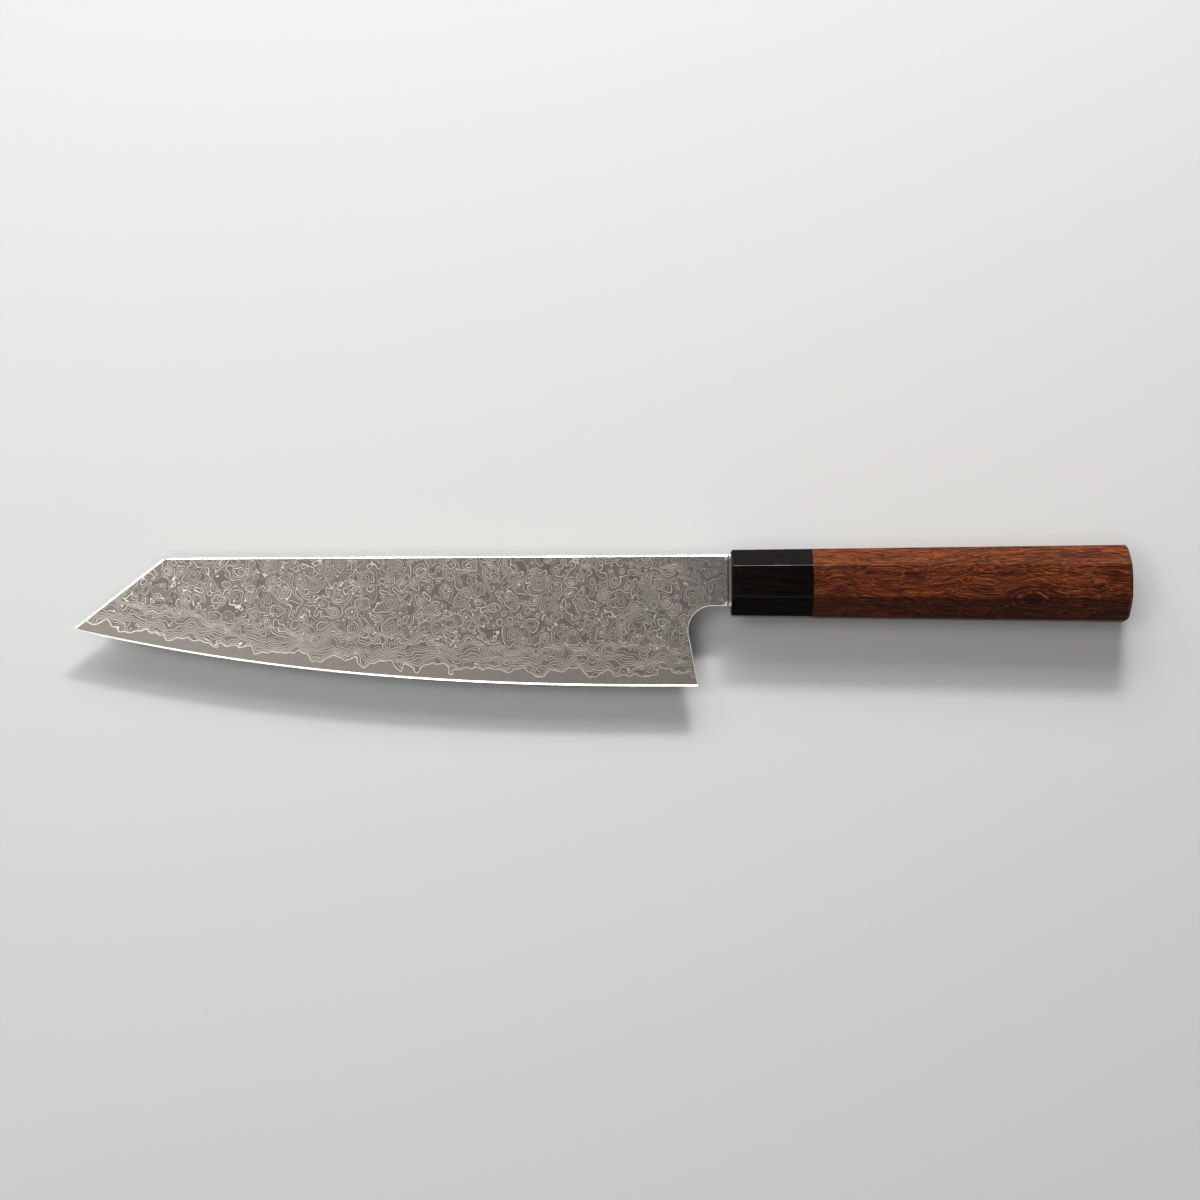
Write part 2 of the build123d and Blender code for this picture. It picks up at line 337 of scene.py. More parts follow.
class KnifeStageLook(bpy.types.PropertyGroup):
    """The floor, lights and camera round the knife."""

    floor_colour: FloatVectorProperty(
        name="Floor",
        description="Colour of the floor",
        subtype="COLOR",
        size=3,
        default=linear("#DEDEDC"),
    )
    camera_distance: FloatProperty(
        name="Camera Distance",
        description="Distance from the camera to the middle of the knife",
        subtype="DISTANCE",
        unit="LENGTH",
        default=0.85,
    )
    camera_elevation: FloatProperty(
        name="Camera Elevation",
        description="Angle of the camera above the floor",
        subtype="ANGLE",
        unit="ROTATION",
        default=math.radians(85.5),
    )
    view_width: FloatProperty(
        name="View Width",
        description="Width of the picture at the middle of the knife",
        subtype="DISTANCE",
        unit="LENGTH",
        default=0.4026,
    )


def height_above_edge(tree, x, y):
    """Distance above the cutting edge, which is flat at the heel and rises to the tip."""
    reach = add_node(tree, MATH, {0: FLAT_X, 1: x}, operation="SUBTRACT")
    span = FLAT_X - TIP_X
    share = add_node(tree, MATH, {0: reach, 1: span}, operation="DIVIDE", use_clamp=True)
    square = add_node(tree, MATH, {0: share, 1: share}, operation="MULTIPLY")
    bend = {0: share, 1: 1 - EDGE_RISE_SHARE, 2: EDGE_RISE_SHARE}
    bend = add_node(tree, MATH, bend, operation="MULTIPLY_ADD")
    rise = add_node(tree, MATH, {0: square, 1: bend}, operation="MULTIPLY")
    edge = add_node(tree, MATH, {0: rise, 1: TIP_HEIGHT, 2: LOW_Y}, operation="MULTIPLY_ADD")
    return add_node(tree, MATH, {0: y, 1: edge}, operation="SUBTRACT")


def gap_to_heel(tree, x, y):
    """Distance from the leaning heel, the round choil or the underside of the neck."""
    heel_side = (-math.cos(HEEL_LEAN), -math.sin(HEEL_LEAN), 0.0)
    place = add_node(tree, COMBINE, {"X": x, "Y": y})
    reach = {0: place, 1: (CHOIL_X, CHOIL_Y, 0.0)}
    reach = add_node(tree, VECTOR_MATH, reach, operation="SUBTRACT")
    left = {0: reach, 1: heel_side}
    left = add_node(tree, VECTOR_MATH, left, operation="DOT_PRODUCT").node.outputs["Value"]
    up = add_node(tree, SEPARATE, {0: reach}).node.outputs["Y"]
    straight = add_node(tree, MATH, {0: left, 1: up}, operation="MAXIMUM")
    round_part = add_node(tree, VECTOR_MATH, {0: reach}, operation="LENGTH").node.outputs["Value"]
    past_heel = {0: up, 1: math.sin(HEEL_LEAN), 2: left}
    past_heel = add_node(tree, MATH, past_heel, operation="MULTIPLY_ADD")
    past_neck = {0: left, 1: math.sin(HEEL_LEAN), 2: up}
    past_neck = add_node(tree, MATH, past_neck, operation="MULTIPLY_ADD")
    bend = add_node(tree, MATH, {0: past_heel, 1: past_neck}, operation="MINIMUM")
    bend = add_node(tree, MATH, {0: bend, 1: 0.0}, operation="GREATER_THAN")
    gap = {"Factor": bend, "A": straight, "B": round_part}
    gap = add_node(tree, MIX, gap, data_type="FLOAT")
    return add_node(tree, MATH, {0: gap, 1: CHOIL_RADIUS}, operation="SUBTRACT")


def outline_glint(tree, x, y, rise):
    """How far a place is honed and how far it is eased, from 0 to 1, and how far it rolls off."""
    near, far = HONED_BAND
    bevel = {"Value": rise, "From Min": near, "From Max": far, "To Min": 1.0, "To Max": 0.0}
    bevel = add_node(tree, RANGE, bevel, interpolation_type="SMOOTHSTEP")
    slope = SPINE_FALL / (MOUTH_X - CORNER_X)
    spine = {0: x, 1: slope, 2: SPINE_Y - slope * MOUTH_X}
    spine = add_node(tree, MATH, spine, operation="MULTIPLY_ADD")
    spine_gap = add_node(tree, MATH, {0: spine, 1: y}, operation="SUBTRACT")
    fall = CORNER_Y - (LOW_Y + TIP_HEIGHT)
    across = Vector((-fall, CLIP_LENGTH, 0)).normalized()
    flat = add_node(tree, COMBINE, {"X": x, "Y": y})
    along = add_node(tree, VECTOR_MATH, {0: flat, 1: across}, operation="DOT_PRODUCT")
    reach = across.dot(Vector((CORNER_X, CORNER_Y, 0)))
    clip_gap = {0: reach, 1: along.node.outputs["Value"]}
    clip_gap = add_node(tree, MATH, clip_gap, operation="SUBTRACT")
    clip_eased = add_node(tree, MATH, {0: clip_gap, 1: CLIP_EASED_MORE}, operation="SUBTRACT")
    gap = add_node(tree, MATH, {0: spine_gap, 1: clip_eased}, operation="MINIMUM")
    heel_gap = gap_to_heel(tree, x, y)
    heel_eased = add_node(tree, MATH, {0: heel_gap, 1: HEEL_EASED_LESS}, operation="ADD")
    gap = add_node(tree, MATH, {0: gap, 1: heel_eased}, operation="MINIMUM")
    # Painted highlight: towards the neck's end the eased band widens, so the neck's upper and lower
    # corners take near-white steel as glints
    corner_glint = {"Value": x, "From Min": NECK_END_X - NECK_CORNER_GLINT_REACH, "From Max": NECK_END_X}
    corner_glint = {**corner_glint, "To Max": NECK_CORNER_GLINT_WIDENING}
    corner_glint = add_node(tree, RANGE, corner_glint, interpolation_type="SMOOTHSTEP")
    gap = add_node(tree, MATH, {0: gap, 1: corner_glint}, operation="SUBTRACT")
    near, far = EASED_BAND
    eased = {"Value": gap, "From Min": near, "From Max": far, "To Min": 1.0, "To Max": 0.0}
    eased = add_node(tree, RANGE, eased, interpolation_type="SMOOTHSTEP")

    # The faces roll off before the spine's rounding, along the clip and round the heel: each
    # roll has its gap, where it is full, where it has faded, and its height in millimetres
    roll = 0.0
    for outline_gap, full, faded, height in (
        (spine_gap, 0.38, 0.62, -0.12),
        (clip_gap, 0.35, 0.77, -0.21),
        (clip_gap, 0.0, 0.35, 0.16),
        (heel_gap, 0.0, 0.32, -0.16),
    ):
        part = {"Value": outline_gap, "From Min": full, "From Max": faded, "To Min": height}
        part = add_node(tree, RANGE, {**part, "To Max": 0.0})
        roll = add_node(tree, MATH, {0: roll, 1: part}, operation="ADD")
    return bevel, eased, roll


def layer_heights(tree, x, y, shift, look):
    """How deep the ground face is in a dimpled stack of layers, counted in layers.

    With it comes the height in millimetres above the wavy line where the sheet ends."""
    spacing = look.line_spacing / MM
    rise = height_above_edge(tree, x, y)
    shifted = add_node(tree, MATH, {0: x, 1: shift}, operation="ADD")
    flat = add_node(tree, COMBINE, {"X": shifted, "Y": y})

    # Irregular ripples push every line about
    warped = flat
    middle = (0.5, 0.5, 0.5)
    for size, reach in RIPPLES:
        ripple = {"Vector": flat, "Scale": 1 / size, "Detail": 0.0}
        ripple = add_node(tree, NOISE, ripple, noise_dimensions="2D").node.outputs["Color"]
        ripple = add_node(tree, VECTOR_MATH, {0: ripple, 1: middle}, operation="SUBTRACT")
        pushed = {0: ripple, 1: (reach, reach, 0.0), 2: warped}
        warped = add_node(tree, VECTOR_MATH, pushed, operation="MULTIPLY_ADD")
    moved = add_node(tree, VECTOR_MATH, {0: warped, 1: flat}, operation="SUBTRACT")
    moved_y = add_node(tree, SEPARATE, {0: moved}).node.outputs["Y"]

    # Height above the wavy line where the sheet ends
    lift = {0: moved_y, 1: END_RIPPLE_SHARE, 2: rise}
    lift = add_node(tree, MATH, lift, operation="MULTIPLY_ADD")
    curl = {"Vector": flat, "Scale": 1 / CURL_SIZE, "Detail": 0.0}
    curl = add_node(tree, NOISE, curl, noise_dimensions="2D")
    curl = add_node(tree, MATH, {0: curl, 1: 0.5}, operation="SUBTRACT")
    strong, weak = CURL_HEIGHTS
    curl_height = {"Value": rise, "From Min": CURL_FADE[0], "From Max": CURL_FADE[1]}
    curl_height = add_node(tree, RANGE, {**curl_height, "To Min": strong, "To Max": weak})
    lift = add_node(tree, MATH, {0: curl, 1: curl_height, 2: lift}, operation="MULTIPLY_ADD")
    for height, length, start in END_WAVES:
        turn = 2 * math.pi / length
        phase = add_node(tree, MATH, {0: x, 1: turn, 2: -start * turn}, operation="MULTIPLY_ADD")
        wave = add_node(tree, MATH, {0: phase}, operation="SINE")
        lift = add_node(tree, MATH, {0: wave, 1: -height, 2: lift}, operation="MULTIPLY_ADD")
    lift = add_node(tree, MATH, {0: lift, 1: CORE_EXPOSED}, operation="SUBTRACT")

    # Height of the layers: even steps near the edge, dimples and slow waves above
    opens, opened = OPENING
    open_share = {"Value": lift, "From Min": opens, "From Max": opened}
    open_share = add_node(tree, RANGE, open_share, interpolation_type="SMOOTHSTEP")
    steps = {"Value": lift, "From Min": 0.0, "From Max": opened}
    steps = {**steps, "To Min": 0.0, "To Max": opened / spacing}
    layers = add_node(tree, RANGE, steps, interpolation_type="LINEAR")
    for size, height in SLOW_WAVES:
        slow = {"Vector": warped, "Scale": 1 / size, "Detail": 0.6}
        slow = add_node(tree, NOISE, slow, noise_dimensions="2D")
        layers = add_node(tree, MATH, {0: slow, 1: height, 2: layers}, operation="MULTIPLY_ADD")
    cluster = look.cluster_size / MM
    for size_share, radius, sign, away in DIMPLES:
        size = cluster * size_share
        count = sign * size * radius / spacing
        moved_place = add_node(tree, VECTOR_MATH, {0: warped, 1: (away, away, 0)}, operation="ADD")
        cell = {"Vector": moved_place, "Scale": 1 / size, "Randomness": 0.9}
        cell = add_node(tree, VORONOI, cell, voronoi_dimensions="2D")
        chance = add_node(tree, SEPARATE, {0: cell.node.outputs["Color"]})
        reach = {"Value": chance, "To Min": SMALLEST_DIMPLE, "To Max": radius}
        reach = add_node(tree, RANGE, reach)
        inside = add_node(tree, MATH, {0: cell, 1: reach}, operation="DIVIDE")
        inside = add_node(tree, MATH, {0: 1.0, 1: inside}, operation="SUBTRACT")
        inside = add_node(tree, MATH, {0: inside, 1: 0.0, 2: DIMPLE_RIM}, operation="SMOOTH_MAX")
        share = add_node(tree, MATH, {0: reach, 1: count / radius}, operation="MULTIPLY")
        share = add_node(tree, MATH, {0: share, 1: open_share}, operation="MULTIPLY")
        layers = add_node(tree, MATH, {0: inside, 1: share, 2: layers}, operation="MULTIPLY_ADD")
    return layers, lift


def layer_lines(tree, x, y, z, look):
    """Lines of a pattern-welded sheet: contours of a dimpled stack of layers, ground flat.

    Gives how far a place is on a line and on the cladding, and the tones of both layers."""
    shift = add_node(tree, MATH, {0: z, 1: AXIS_Z}, operation="LESS_THAN")
    shift = add_node(tree, MATH, {0: shift, 1: FAR_SIDE_SHIFT}, operation="MULTIPLY")

    # The slope of the layers is read from two places close by, so every line keeps its width
    right = add_node(tree, MATH, {0: x, 1: SLOPE_STEP}, operation="ADD")
    above = add_node(tree, MATH, {0: y, 1: SLOPE_STEP}, operation="ADD")
    here = layer_heights(tree, x, y, shift, look)
    beside = layer_heights(tree, right, y, shift, look)
    over = layer_heights(tree, x, above, shift, look)
    slopes = []
    for height, height_beside, height_over in zip(here, beside, over):
        run = add_node(tree, MATH, {0: height_beside, 1: height}, operation="SUBTRACT")
        climb = add_node(tree, MATH, {0: height_over, 1: height}, operation="SUBTRACT")
        slope = add_node(tree, COMBINE, {"X": run, "Y": climb})
        slope = add_node(tree, VECTOR_MATH, {0: slope}, operation="LENGTH").node.outputs["Value"]
        slope = add_node(tree, MATH, {0: slope, 1: 1 / SLOPE_STEP}, operation="MULTIPLY")
        slopes.append(slope)
    layers, lift = here

    # Each layer has its own thickness and tone, so some lines are broad and some are fine.
    # Lines that crowd together grow finer, so that they stay apart.
    number = add_node(tree, MATH, {0: layers}, operation="ROUND")
    chance = add_node(tree, WHITE_NOISE, {"W": number}, noise_dimensions="1D")
    fine, broad = LINE_WIDTHS
    width = add_node(tree, RANGE, {"Value": chance, "To Min": fine, "To Max": broad})
    soft = add_node(tree, MATH, {0: width, 1: LINE_RIM}, operation="ADD")
    width = add_node(tree, MATH, {0: width, 1: slopes[0]}, operation="MULTIPLY")
    width = add_node(tree, MATH, {0: width, 1: CROWDED_WIDTH}, operation="MINIMUM")
    soft = add_node(tree, MATH, {0: soft, 1: slopes[0]}, operation="MULTIPLY")
    soft = add_node(tree, MATH, {0: soft, 1: CROWDED_RIM}, operation="MINIMUM")

    # Where a thick layer lies almost level with the ground face, it shows as a bright island
    fine, broad = ISLAND_WIDTHS
    island = {"Value": chance, "From Min": 0.6, "From Max": 1.0, "To Min": fine, "To Max": broad}
    island = add_node(tree, RANGE, island)
    width = add_node(tree, MATH, {0: width, 1: island}, operation="MAXIMUM")
    island = add_node(tree, MATH, {0: island, 1: ISLAND_RIM}, operation="ADD")
    soft = add_node(tree, MATH, {0: soft, 1: island}, operation="MAXIMUM")
    off = add_node(tree, MATH, {0: layers, 1: 0.5}, operation="PINGPONG")
    line = {"Value": off, "From Min": width, "From Max": soft, "To Min": 1.0, "To Max": 0.0}
    line = add_node(tree, RANGE, line, interpolation_type="SMOOTHSTEP")
    between = add_node(tree, MATH, {0: layers}, operation="FLOOR")
    tone = add_node(tree, WHITE_NOISE, {"W": between}, noise_dimensions="1D")
    low, high = DARK_TONES
    tone = add_node(tree, RANGE, {"Value": tone, "To Min": low, "To Max": high})

    # The sheet ends in a bright line, with the bare core below it
    end_gap = add_node(tree, MATH, {0: lift}, operation="ABSOLUTE")
    slope = add_node(tree, MATH, {0: slopes[1], 1: 0.5}, operation="MAXIMUM")
    end_gap = add_node(tree, MATH, {0: end_gap, 1: slope}, operation="DIVIDE")
    end_line = {"Value": end_gap, "From Min": 0.08, "From Max": 0.24, "To Min": 1.0, "To Max": 0.0}
    end_line = add_node(tree, RANGE, end_line, interpolation_type="SMOOTHSTEP")
    clad = {"Value": lift, "From Min": -0.1, "From Max": 0.1}
    clad = add_node(tree, RANGE, clad, interpolation_type="SMOOTHSTEP")
    line = add_node(tree, MATH, {0: line, 1: clad}, operation="MULTIPLY")
    line = add_node(tree, MATH, {0: line, 1: end_line}, operation="MAXIMUM")
    low, high = LIGHT_TONES
    line_tone = add_node(tree, RANGE, {"Value": chance, "To Min": low, "To Max": high})
    line_tone = {"Factor": end_line, "A": line_tone, "B": END_TONE}
    line_tone = add_node(tree, MIX, line_tone, data_type="FLOAT")
    return line, clad, tone, line_tone


def etched_steel(name, look):
    """Pattern-welded stainless steel, ground, etched and polished lightly.

    The eye sees a soft satin sheen. The nickel layers stay bright and stand a little proud,
    and the others turn a soft grey."""
    material, tree = new_material(name)
    place = millimetres(tree)
    x, y, z = add_node(tree, SEPARATE, {0: place}).node.outputs
    rise = height_above_edge(tree, x, y)
    bevel, eased, roll = outline_glint(tree, x, y, rise)
    line, clad, tone, line_tone = layer_lines(tree, x, y, z, look)

    # The pattern grows faint towards the neck
    start, end = FAINT_REACH
    faint = {"Value": x, "From Min": start, "From Max": end, "To Min": 1.0, "To Max": FAINT_SHARE}
    faint = add_node(tree, RANGE, faint, interpolation_type="SMOOTHSTEP")
    line = add_node(tree, MATH, {0: line, 1: faint}, operation="MULTIPLY")

    # Grinding marks run across the blade, too fine to tell apart, so they only mottle it
    marks = add_node(tree, VECTOR_MATH, {0: place, 1: (3.0, 0.6, 1.0)}, operation="MULTIPLY")
    marks = {"Vector": marks, "Scale": 1.0, "Detail": 4.0, "Roughness": 0.6}
    marks = add_node(tree, NOISE, marks, noise_dimensions="2D")
    mottle = {"Value": marks, "From Min": 0.25, "From Max": 0.75, "To Min": 0.88, "To Max": 1.12}
    mottle = add_node(tree, RANGE, mottle)

    core = (*look.core_steel, 1.0)
    toned = {0: tuple(look.dark_layer), "Scale": tone}
    toned = add_node(tree, VECTOR_MATH, toned, operation="SCALE")
    ground = add_node(tree, MIX, {"Factor": clad, "A": core, "B": toned}, data_type="RGBA")
    mottled = add_node(tree, VECTOR_MATH, {0: ground, "Scale": mottle}, operation="SCALE")
    light = {0: tuple(look.light_layer), "Scale": line_tone}
    light = add_node(tree, VECTOR_MATH, light, operation="SCALE")
    colour = {"Factor": line, "A": mottled, "B": light}
    colour = add_node(tree, MIX, colour, data_type="RGBA")
    # Partly polish, partly painted highlight: the honed edge and the eased outline are given
    # near-white steel, brighter than polished steel itself
    polish_and_glint = add_node(tree, MATH, {0: bevel, 1: eased}, operation="MAXIMUM")
    bright = (*look.polished_glint_steel, 1.0)
    colour = add_node(tree, MIX, {"Factor": polish_and_glint, "A": colour, "B": bright}, data_type="RGBA")

    # The honed edge and the eased spine are smoother than the etched faces, and glint
    rough = {"Value": line, "To Min": DARK_ROUGHNESS, "To Max": LIGHT_ROUGHNESS}
    rough = add_node(tree, RANGE, rough)
    rough = add_node(tree, MATH, {0: rough, 1: mottle}, operation="MULTIPLY")
    rough = {"Factor": eased, "A": rough, "B": EASED_ROUGHNESS}
    rough = add_node(tree, MIX, rough, data_type="FLOAT")
    rough = {"Factor": bevel, "A": rough, "B": HONED_ROUGHNESS}
    rough = add_node(tree, MIX, rough, data_type="FLOAT")

    # Relief of the etching in millimetres, and the roll of the eased outline
    relief = add_node(tree, MATH, {0: line, 1: ETCHED_RELIEF}, operation="MULTIPLY")
    relief = add_node(tree, MATH, {0: relief, 1: roll}, operation="ADD")
    normal = {"Height": relief, "Distance": MM, "Strength": 1.0}
    normal = add_node(tree, BUMP, normal)

    shader = {"Base Color": colour, "Metallic": 1.0, "Roughness": rough, "Normal": normal}
    shader = add_node(tree, PRINCIPLED, shader)
    add_node(tree, OUTPUT, {"Surface": shader})
    return material


def brushed_steel(name):
    """Plain mild steel bar, linished: a grey sheen with fine marks, a painted shade line where the
    shoulder meets the blade, and painted glints at the shoulder's ends.
    """
    material, tree = new_material(name)
    place = millimetres(tree)
    x, y, _ = add_node(tree, SEPARATE, {0: place}).node.outputs
    marks = add_node(tree, VECTOR_MATH, {0: place, 1: (8.0, 0.5, 0.5)}, operation="MULTIPLY")
    marks = add_node(tree, NOISE, {"Vector": marks, "Scale": 1.0, "Detail": 3.0})
    # Painted shade: a dark line on the shoulder just behind the blade's neck, where the step
    # between them lies in shade
    clear_of_joint_shade = {"Value": x, "From Min": NECK_END_X + 0.12, "From Max": NECK_END_X + 0.28}
    clear_of_joint_shade = add_node(tree, RANGE, clear_of_joint_shade, interpolation_type="SMOOTHSTEP")
    stops = ((0.3, linear("#6E6A64")), (0.7, linear("#8E8A83")))
    colour = add_node(tree, RAMP, {"Fac": marks}, stops=stops)

    # Painted highlight: the two ends of the shoulder are made near-white steel, as glints at the
    # neck's corners
    half = NECK_HEIGHT / 2
    off = add_node(tree, MATH, {0: y, 1: SPINE_Y - half}, operation="SUBTRACT")
    off = add_node(tree, MATH, {0: off}, operation="ABSOLUTE")
    ends = {"Value": off, "From Min": half - 2.0, "From Max": half - 0.4}
    ends = add_node(tree, RANGE, ends, interpolation_type="SMOOTHSTEP")
    glint_white = (*linear("#E6E3DD"), 1.0)
    colour = add_node(tree, MIX, {"Factor": ends, "A": colour, "B": glint_white}, data_type="RGBA")
    # The painted shade line at the joint with the blade
    joint_shade = (*linear("#2B2926"), 1.0)
    colour = add_node(tree, MIX, {"Factor": clear_of_joint_shade, "A": joint_shade, "B": colour}, data_type="RGBA")
    rough = add_node(tree, RANGE, {"Value": marks, "To Min": 0.22, "To Max": 0.4})
    relief = add_node(tree, BUMP, {"Height": marks, "Distance": 0.01 * MM})
    shader = {"Base Color": colour, "Metallic": 1.0, "Roughness": rough, "Normal": relief}
    shader = add_node(tree, PRINCIPLED, shader)
    add_node(tree, OUTPUT, {"Surface": shader})
    return material


def rosewood(name, look):
    """Oiled rosewood: dark streaks in a red brown ground, open pores and one knot.

    The oil sinks in, so the wood has a low, soft gloss."""
    material, tree = new_material(name)
    place = millimetres(tree)

    # Slow waves bend the grain
    bent = place
    for length, reach in GRAIN_WAVES:
        sway = {"Vector": place, "Scale": 1 / length, "Detail": 1.0}
        sway = add_node(tree, NOISE, sway).node.outputs["Color"]
        sway = add_node(tree, VECTOR_MATH, {0: sway, 1: (0.5, 0.5, 0.5)}, operation="SUBTRACT")
        bent = {0: sway, 1: (0.0, reach, reach), 2: bent}
        bent = add_node(tree, VECTOR_MATH, bent, operation="MULTIPLY_ADD")

    # The grain parts round the knot, which lies near the lower ridge
    from_knot = add_node(tree, VECTOR_MATH, {0: place, 1: KNOT_PLACE}, operation="SUBTRACT")
    along, across, through = add_node(tree, SEPARATE, {0: from_knot}).node.outputs
    short = add_node(tree, MATH, {0: along, 1: 1 / KNOT_STRETCH}, operation="MULTIPLY")
    short = add_node(tree, MATH, {0: short, 1: short}, operation="MULTIPLY")
    reach = add_node(tree, MATH, {0: across, 1: across, 2: short}, operation="MULTIPLY_ADD")
    parting = KNOT_PARTING ** 2
    share = add_node(tree, MATH, {0: reach, 1: parting}, operation="ADD")
    share = add_node(tree, MATH, {0: -parting, 1: share}, operation="DIVIDE")
    push = add_node(tree, MATH, {0: across, 1: share}, operation="MULTIPLY")
    pushed = add_node(tree, COMBINE, {"Y": push})
    parted = add_node(tree, VECTOR_MATH, {0: bent, 1: pushed}, operation="ADD")

    # Streaks, fibres and pores, each a noise drawn out along the handle
    fibre = look.fibre_width / MM
    streaks = add_node(tree, VECTOR_MATH, {0: parted, 1: (0.03, 0.55, 0.55)}, operation="MULTIPLY")
    streaks = {"Vector": streaks, "Scale": 1.0, "Detail": 6.0, "Roughness": 0.68}
    streaks = add_node(tree, NOISE, streaks)
    veins = add_node(tree, VECTOR_MATH, {0: parted, 1: (0.045, 0.9, 0.9)}, operation="MULTIPLY")
    veins = add_node(tree, NOISE, {"Vector": veins, "Scale": 1.0, "Detail": 2.0, "Distortion": 0.5})
    veins = add_node(tree, MATH, {0: veins, 1: 0.06}, operation="PINGPONG")
    veins = {"Value": veins, "From Min": 0.0, "From Max": 0.016, "To Min": 0.75, "To Max": 0.0}
    veins = add_node(tree, RANGE, veins, interpolation_type="SMOOTHSTEP")
    stretch = (0.025 / fibre, 1 / fibre, 1 / fibre)
    fibres = add_node(tree, VECTOR_MATH, {0: parted, 1: stretch}, operation="MULTIPLY")
    fibres = {"Vector": fibres, "Scale": 1.0, "Detail": 2.0, "Roughness": 0.6}
    fibres = add_node(tree, NOISE, fibres)
    pores = add_node(tree, VECTOR_MATH, {0: parted, 1: (0.22, 3.2, 3.2)}, operation="MULTIPLY")
    pores = add_node(tree, NOISE, {"Vector": pores, "Scale": 1.0, "Detail": 1.0})
    pores = {"Value": pores, "From Min": 0.58, "From Max": 0.66}
    pores = add_node(tree, RANGE, pores, interpolation_type="SMOOTHSTEP")

    tone = add_node(tree, MATH, {0: fibres, 1: 1.5, 2: -0.68}, operation="MULTIPLY_ADD")
    tone = add_node(tree, MATH, {0: streaks, 1: 0.8, 2: tone}, operation="MULTIPLY_ADD")

    # Painted light: the rosewood is lighter towards the spine, the side the light falls from
    x, y, _ = add_node(tree, SEPARATE, {0: place}).node.outputs
    towards_spine = add_node(tree, MATH, {0: y, 1: AXIS_Y}, operation="SUBTRACT")
    tone = add_node(tree, MATH, {0: towards_spine, 1: SPINE_SIDE_LIGHT, 2: tone}, operation="MULTIPLY_ADD")
    stops = (
        (0.2, tuple(look.wood_dark)),
        (0.48, tuple(look.wood_middle)),
        (0.84, tuple(look.wood_light)),
    )
    colour = add_node(tree, RAMP, {"Fac": tone}, stops=stops)
    hollow = (*linear("#1E0B06"), 1.0)
    dark = add_node(tree, MATH, {0: pores, 1: 0.6}, operation="MULTIPLY")
    dark = add_node(tree, MATH, {0: dark, 1: veins}, operation="MAXIMUM")
    colour = add_node(tree, MIX, {"Factor": dark, "A": colour, "B": hollow}, data_type="RGBA")

    # The slightly domed butt is darker: partly end grain that drinks more oil, partly painted shade
    # where the butt's end lies in shadow
    end_grain_and_shade = {"Value": x, "From Min": BUTT_X - 1.05, "From Max": BUTT_X - 0.95}
    end_grain_and_shade = add_node(tree, RANGE, {**end_grain_and_shade, "To Max": 0.6})
    end_grain_and_shade = {"Factor": end_grain_and_shade, "A": colour, "B": hollow}
    colour = add_node(tree, MIX, end_grain_and_shade, data_type="RGBA")

    # The knot itself: a dark heart with rings round it, which fades out inside the handle
    reach = add_node(tree, MATH, {0: reach}, operation="SQRT")
    depth = {"Value": through, "From Min": -18.0, "From Max": -5.0}
    depth = add_node(tree, RANGE, {**depth, "To Min": 6.0, "To Max": 0.0})
    reach = add_node(tree, MATH, {0: reach, 1: depth}, operation="ADD")
    wobble = add_node(tree, NOISE, {"Vector": place, "Scale": 0.5, "Detail": 2.0})
    reach = add_node(tree, MATH, {0: wobble, 1: 0.8, 2: reach}, operation="MULTIPLY_ADD")
    rings = add_node(tree, MATH, {0: reach, 1: KNOT_RING_SPACING}, operation="PINGPONG")
    rings = {"Value": rings, "From Min": 0.2, "From Max": 0.55, "To Max": 0.9}
    rings = add_node(tree, RANGE, rings)
    near, far = KNOT_HEART
    heart = {"Value": reach, "From Min": near, "From Max": far, "To Min": 0.85, "To Max": 0.0}
    heart = add_node(tree, RANGE, heart, interpolation_type="SMOOTHSTEP")
    near, far = KNOT_RINGED
    ringed = {"Value": reach, "From Min": near, "From Max": far, "To Min": 1.0, "To Max": 0.0}
    ringed = add_node(tree, RANGE, ringed, interpolation_type="SMOOTHSTEP")
    rings = add_node(tree, MATH, {0: rings, 1: ringed}, operation="MULTIPLY")
    ring = (*linear("#2C0D06"), 1.0)
    colour = add_node(tree, MIX, {"Factor": rings, "A": colour, "B": ring}, data_type="RGBA")
    colour = add_node(tree, MIX, {"Factor": heart, "A": colour, "B": hollow}, data_type="RGBA")

    rough = {"Value": fibres, "From Min": 0.3, "From Max": 0.7, "To Min": 0.5, "To Max": 0.34}
    rough = add_node(tree, RANGE, rough)
    relief = add_node(tree, MATH, {0: pores, 1: -1.2, 2: fibres}, operation="MULTIPLY_ADD")
    relief = add_node(tree, BUMP, {"Height": relief, "Distance": 0.06 * MM, "Strength": 1.0})
    shader = {"Base Color": colour, "Roughness": rough, "Normal": relief, "Specular IOR Level": 0.1}
    shader = add_node(tree, PRINCIPLED, shader)
    add_node(tree, OUTPUT, {"Surface": shader})
    return material


def ebony(name, look):
    """Oiled ebony: almost black, with faint brown streaks, and so close grained that it shines."""
    material, tree = new_material(name)
    place = millimetres(tree)
    streaks = add_node(tree, VECTOR_MATH, {0: place, 1: (0.08, 0.8, 0.8)}, operation="MULTIPLY")
    streaks = {"Vector": streaks, "Scale": 1.0, "Detail": 5.0, "Roughness": 0.65, "Distortion": 0.5}
    streaks = add_node(tree, NOISE, streaks)
    fibres = add_node(tree, VECTOR_MATH, {0: place, 1: (0.3, 3.0, 3.0)}, operation="MULTIPLY")
    fibres = {"Vector": fibres, "Scale": 1.0, "Detail": 3.0, "Roughness": 0.7}
    fibres = add_node(tree, NOISE, fibres)
    stops = ((0.45, tuple(look.ebony)), (0.8, tuple(look.ebony_streak)))
    colour = add_node(tree, RAMP, {"Fac": streaks}, stops=stops)
    rough = {"Value": fibres, "From Min": 0.3, "From Max": 0.7, "To Min": 0.14, "To Max": 0.08}
    rough = add_node(tree, RANGE, rough)
    relief = add_node(tree, BUMP, {"Height": fibres, "Distance": 0.02 * MM})
    shader = {"Base Color": colour, "Roughness": rough, "Normal": relief}
    shader = add_node(tree, PRINCIPLED, {**shader, "Specular IOR Level": 0.11})
    add_node(tree, OUTPUT, {"Surface": shader})
    return material


